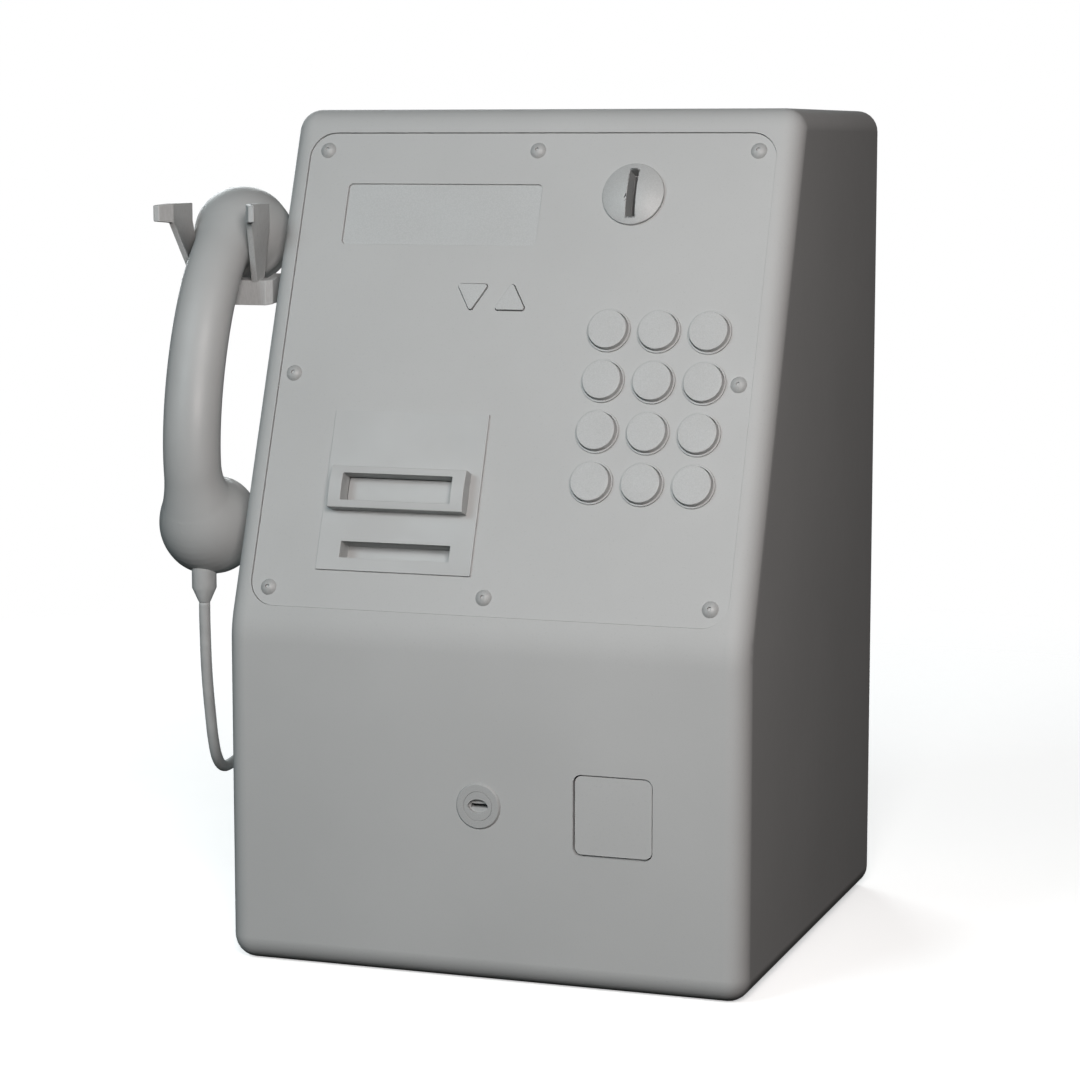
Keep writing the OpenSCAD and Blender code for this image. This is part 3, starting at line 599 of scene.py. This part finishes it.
def make_handset():
    """Handle and cups are merged into one skin whose joints are filleted like a moulding."""
    mesh = bmesh.new()
    pull = -GRIP_BOW * MM * cup_axis
    steps = [i / GRIP_RINGS for i in range(GRIP_RINGS + 1)]
    curve = [bezier([ear, ear + pull, mouth + pull, mouth], t) for t in steps]
    tube(mesh, curve, [grip_size(t) for t in steps], GRIP_SIDES)
    for at in (ear, mouth):
        cup_solid(mesh, at)
    bmesh.ops.recalc_face_normals(mesh, faces=mesh.faces)
    rough = as_object("handset_rough", mesh)
    merge = rough.modifiers.new("merge", "REMESH")
    merge.mode = "VOXEL"
    merge.voxel_size = HANDSET_FINE * MM
    settled = rough.evaluated_get(bpy.context.evaluated_depsgraph_get())
    skin = bmesh.new()
    skin.from_mesh(settled.to_mesh())
    settled.to_mesh_clear()
    bpy.data.objects.remove(rough)
    fillet(skin, curve, steps)
    every_way = {"use_axis_x": True, "use_axis_y": True, "use_axis_z": True}
    for _ in range(HANDSET_SMOOTHING):
        bmesh.ops.smooth_vert(skin, verts=skin.verts, factor=0.5, **every_way)
    piece = as_object("handset_skin", skin)
    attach(piece, body_of("handset_body"))
    settle(piece, "handset_body")


make_handset()


# ---------- cord ----------


def through(points, steps):
    """Points on a smooth curve that passes through every given point."""
    ends = [2 * points[0] - points[1], *points, 2 * points[-1] - points[-2]]
    curve = []
    for a, b, c, d in zip(ends, ends[1:], ends[2:], ends[3:]):
        for i in range(steps):
            t = i / steps
            bend = (2 * a - 5 * b + 4 * c - d) * t * t + (3 * b - a - 3 * c + d) * t ** 3
            curve.append((2 * b + (c - a) * t + bend) / 2)
    return [*curve, points[-1]]


def make_cord():
    """A plain round tube along its route, fixed in place."""
    route = [Vector(point) * MM for point in CORD_ROUTE]
    centres = through(route, CORD_STEPS)
    radius = CORD_D * MM / 2
    mesh = bmesh.new()
    tube(mesh, centres, [(radius, radius)] * len(centres), CORD_SIDES)
    piece = as_object("cord_tube", mesh)
    settle(piece, "cord")
    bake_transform(piece)


make_cord()


# ---------- floor and light ----------

FLOOR_R = 1.6
FLOOR_SIDES = 96
FLOOR_FADE = (0.3, 1.1)
FLOOR_GLOW = 0.55


def make_floor():
    """A pale floor that takes shadows, lights nothing and fades into the white behind it."""
    mesh = bmesh.new()
    bmesh.ops.create_circle(mesh, cap_ends=True, segments=FLOOR_SIDES, radius=FLOOR_R)
    floor = as_object("floor", mesh)
    floor.visible_diffuse = False
    floor.visible_glossy = False
    finish = Finish("floor_finish", specular=0.1)
    finish.tint(grey(250), grey(247), finish.spread(finish.noise(3.0), 0, 1))
    finish.rough(0.8, 0.9, finish.noise(40.0))
    finish.shader.inputs["Emission Color"].default_value = (1, 1, 1, 1)
    finish.shader.inputs["Emission Strength"].default_value = FLOOR_GLOW
    distance = finish.add("ShaderNodeVectorMath")
    distance.operation = "LENGTH"
    finish.join(finish.place, distance.inputs[0])
    fade = finish.spread(distance.outputs["Value"], 1.0, 0.0, *FLOOR_FADE)
    finish.join(fade, finish.shader.inputs["Alpha"])
    floor.data.materials.append(finish.material)


make_floor()


OBJECT_MIDDLE = Vector((0, -0.06, 0.2))


def soft_box(name, at, size, power, colour):
    """A square soft light that faces the object's middle, unseen by the camera."""
    data = bpy.data.lights.new(name, "AREA")
    data.energy = power
    data.size = size
    data.color = colour
    light = link(name, data)
    light.location = at
    light.rotation_euler = (OBJECT_MIDDLE - Vector(at)).to_track_quat("-Z", "Y").to_euler()
    light.visible_camera = False


WARM = (1.06, 0.98, 0.96)
COOL = (0.88, 1.03, 1.08)
NEUTRAL = (0.96, 1.01, 1.02)
soft_box("key_light", (0.436, -1.061, 0.70), size=0.4, power=11.0, colour=WARM)
soft_box("fill_light", (-1.3, -2.35, 1.6), size=1.2, power=27.5, colour=COOL)
soft_box("rear_light", (-1.3, 1.9, 0.95), size=1.2, power=26.0, colour=NEUTRAL)

SKY = 0.03
GROUND = 0.01
HORIZON = (-0.1, 0.25)
SKY_LEFT = (0.93, 1.0, 1.02, 1)
SKY_RIGHT = (1.06, 0.98, 0.95, 1)


def make_world():
    """White behind the object. What lights it is a dim sky, cool at the left, over a dark ground."""
    world = bpy.data.worlds.new("world")
    scene.world = world
    world.use_nodes = True
    tree = world.node_tree
    sky = tree.nodes["Background"]
    place = tree.nodes.new("ShaderNodeTexCoord")
    split = tree.nodes.new("ShaderNodeSeparateXYZ")
    tree.links.new(place.outputs["Generated"], split.inputs[0])
    rise = map_range(tree, split.outputs["Z"], (*HORIZON, GROUND, SKY))
    tree.links.new(rise, sky.inputs["Strength"])
    across = map_range(tree, split.outputs["X"], (-1, 1, 0, 1))
    hue = tree.nodes.new("ShaderNodeMix")
    hue.data_type = "RGBA"
    hue.inputs[MIX_FIRST].default_value = SKY_LEFT
    hue.inputs[MIX_SECOND].default_value = SKY_RIGHT
    tree.links.new(across, hue.inputs[MIX_FACTOR])
    tree.links.new(hue.outputs[MIX_RESULT], sky.inputs["Color"])
    white = tree.nodes.new("ShaderNodeBackground")
    white.inputs["Color"].default_value = (1, 1, 1, 1)
    path = tree.nodes.new("ShaderNodeLightPath")
    mix = tree.nodes.new("ShaderNodeMixShader")
    tree.links.new(path.outputs["Is Camera Ray"], mix.inputs[0])
    tree.links.new(sky.outputs[0], mix.inputs[1])
    tree.links.new(white.outputs[0], mix.inputs[2])
    tree.links.new(mix.outputs[0], tree.nodes["World Output"].inputs["Surface"])


make_world()
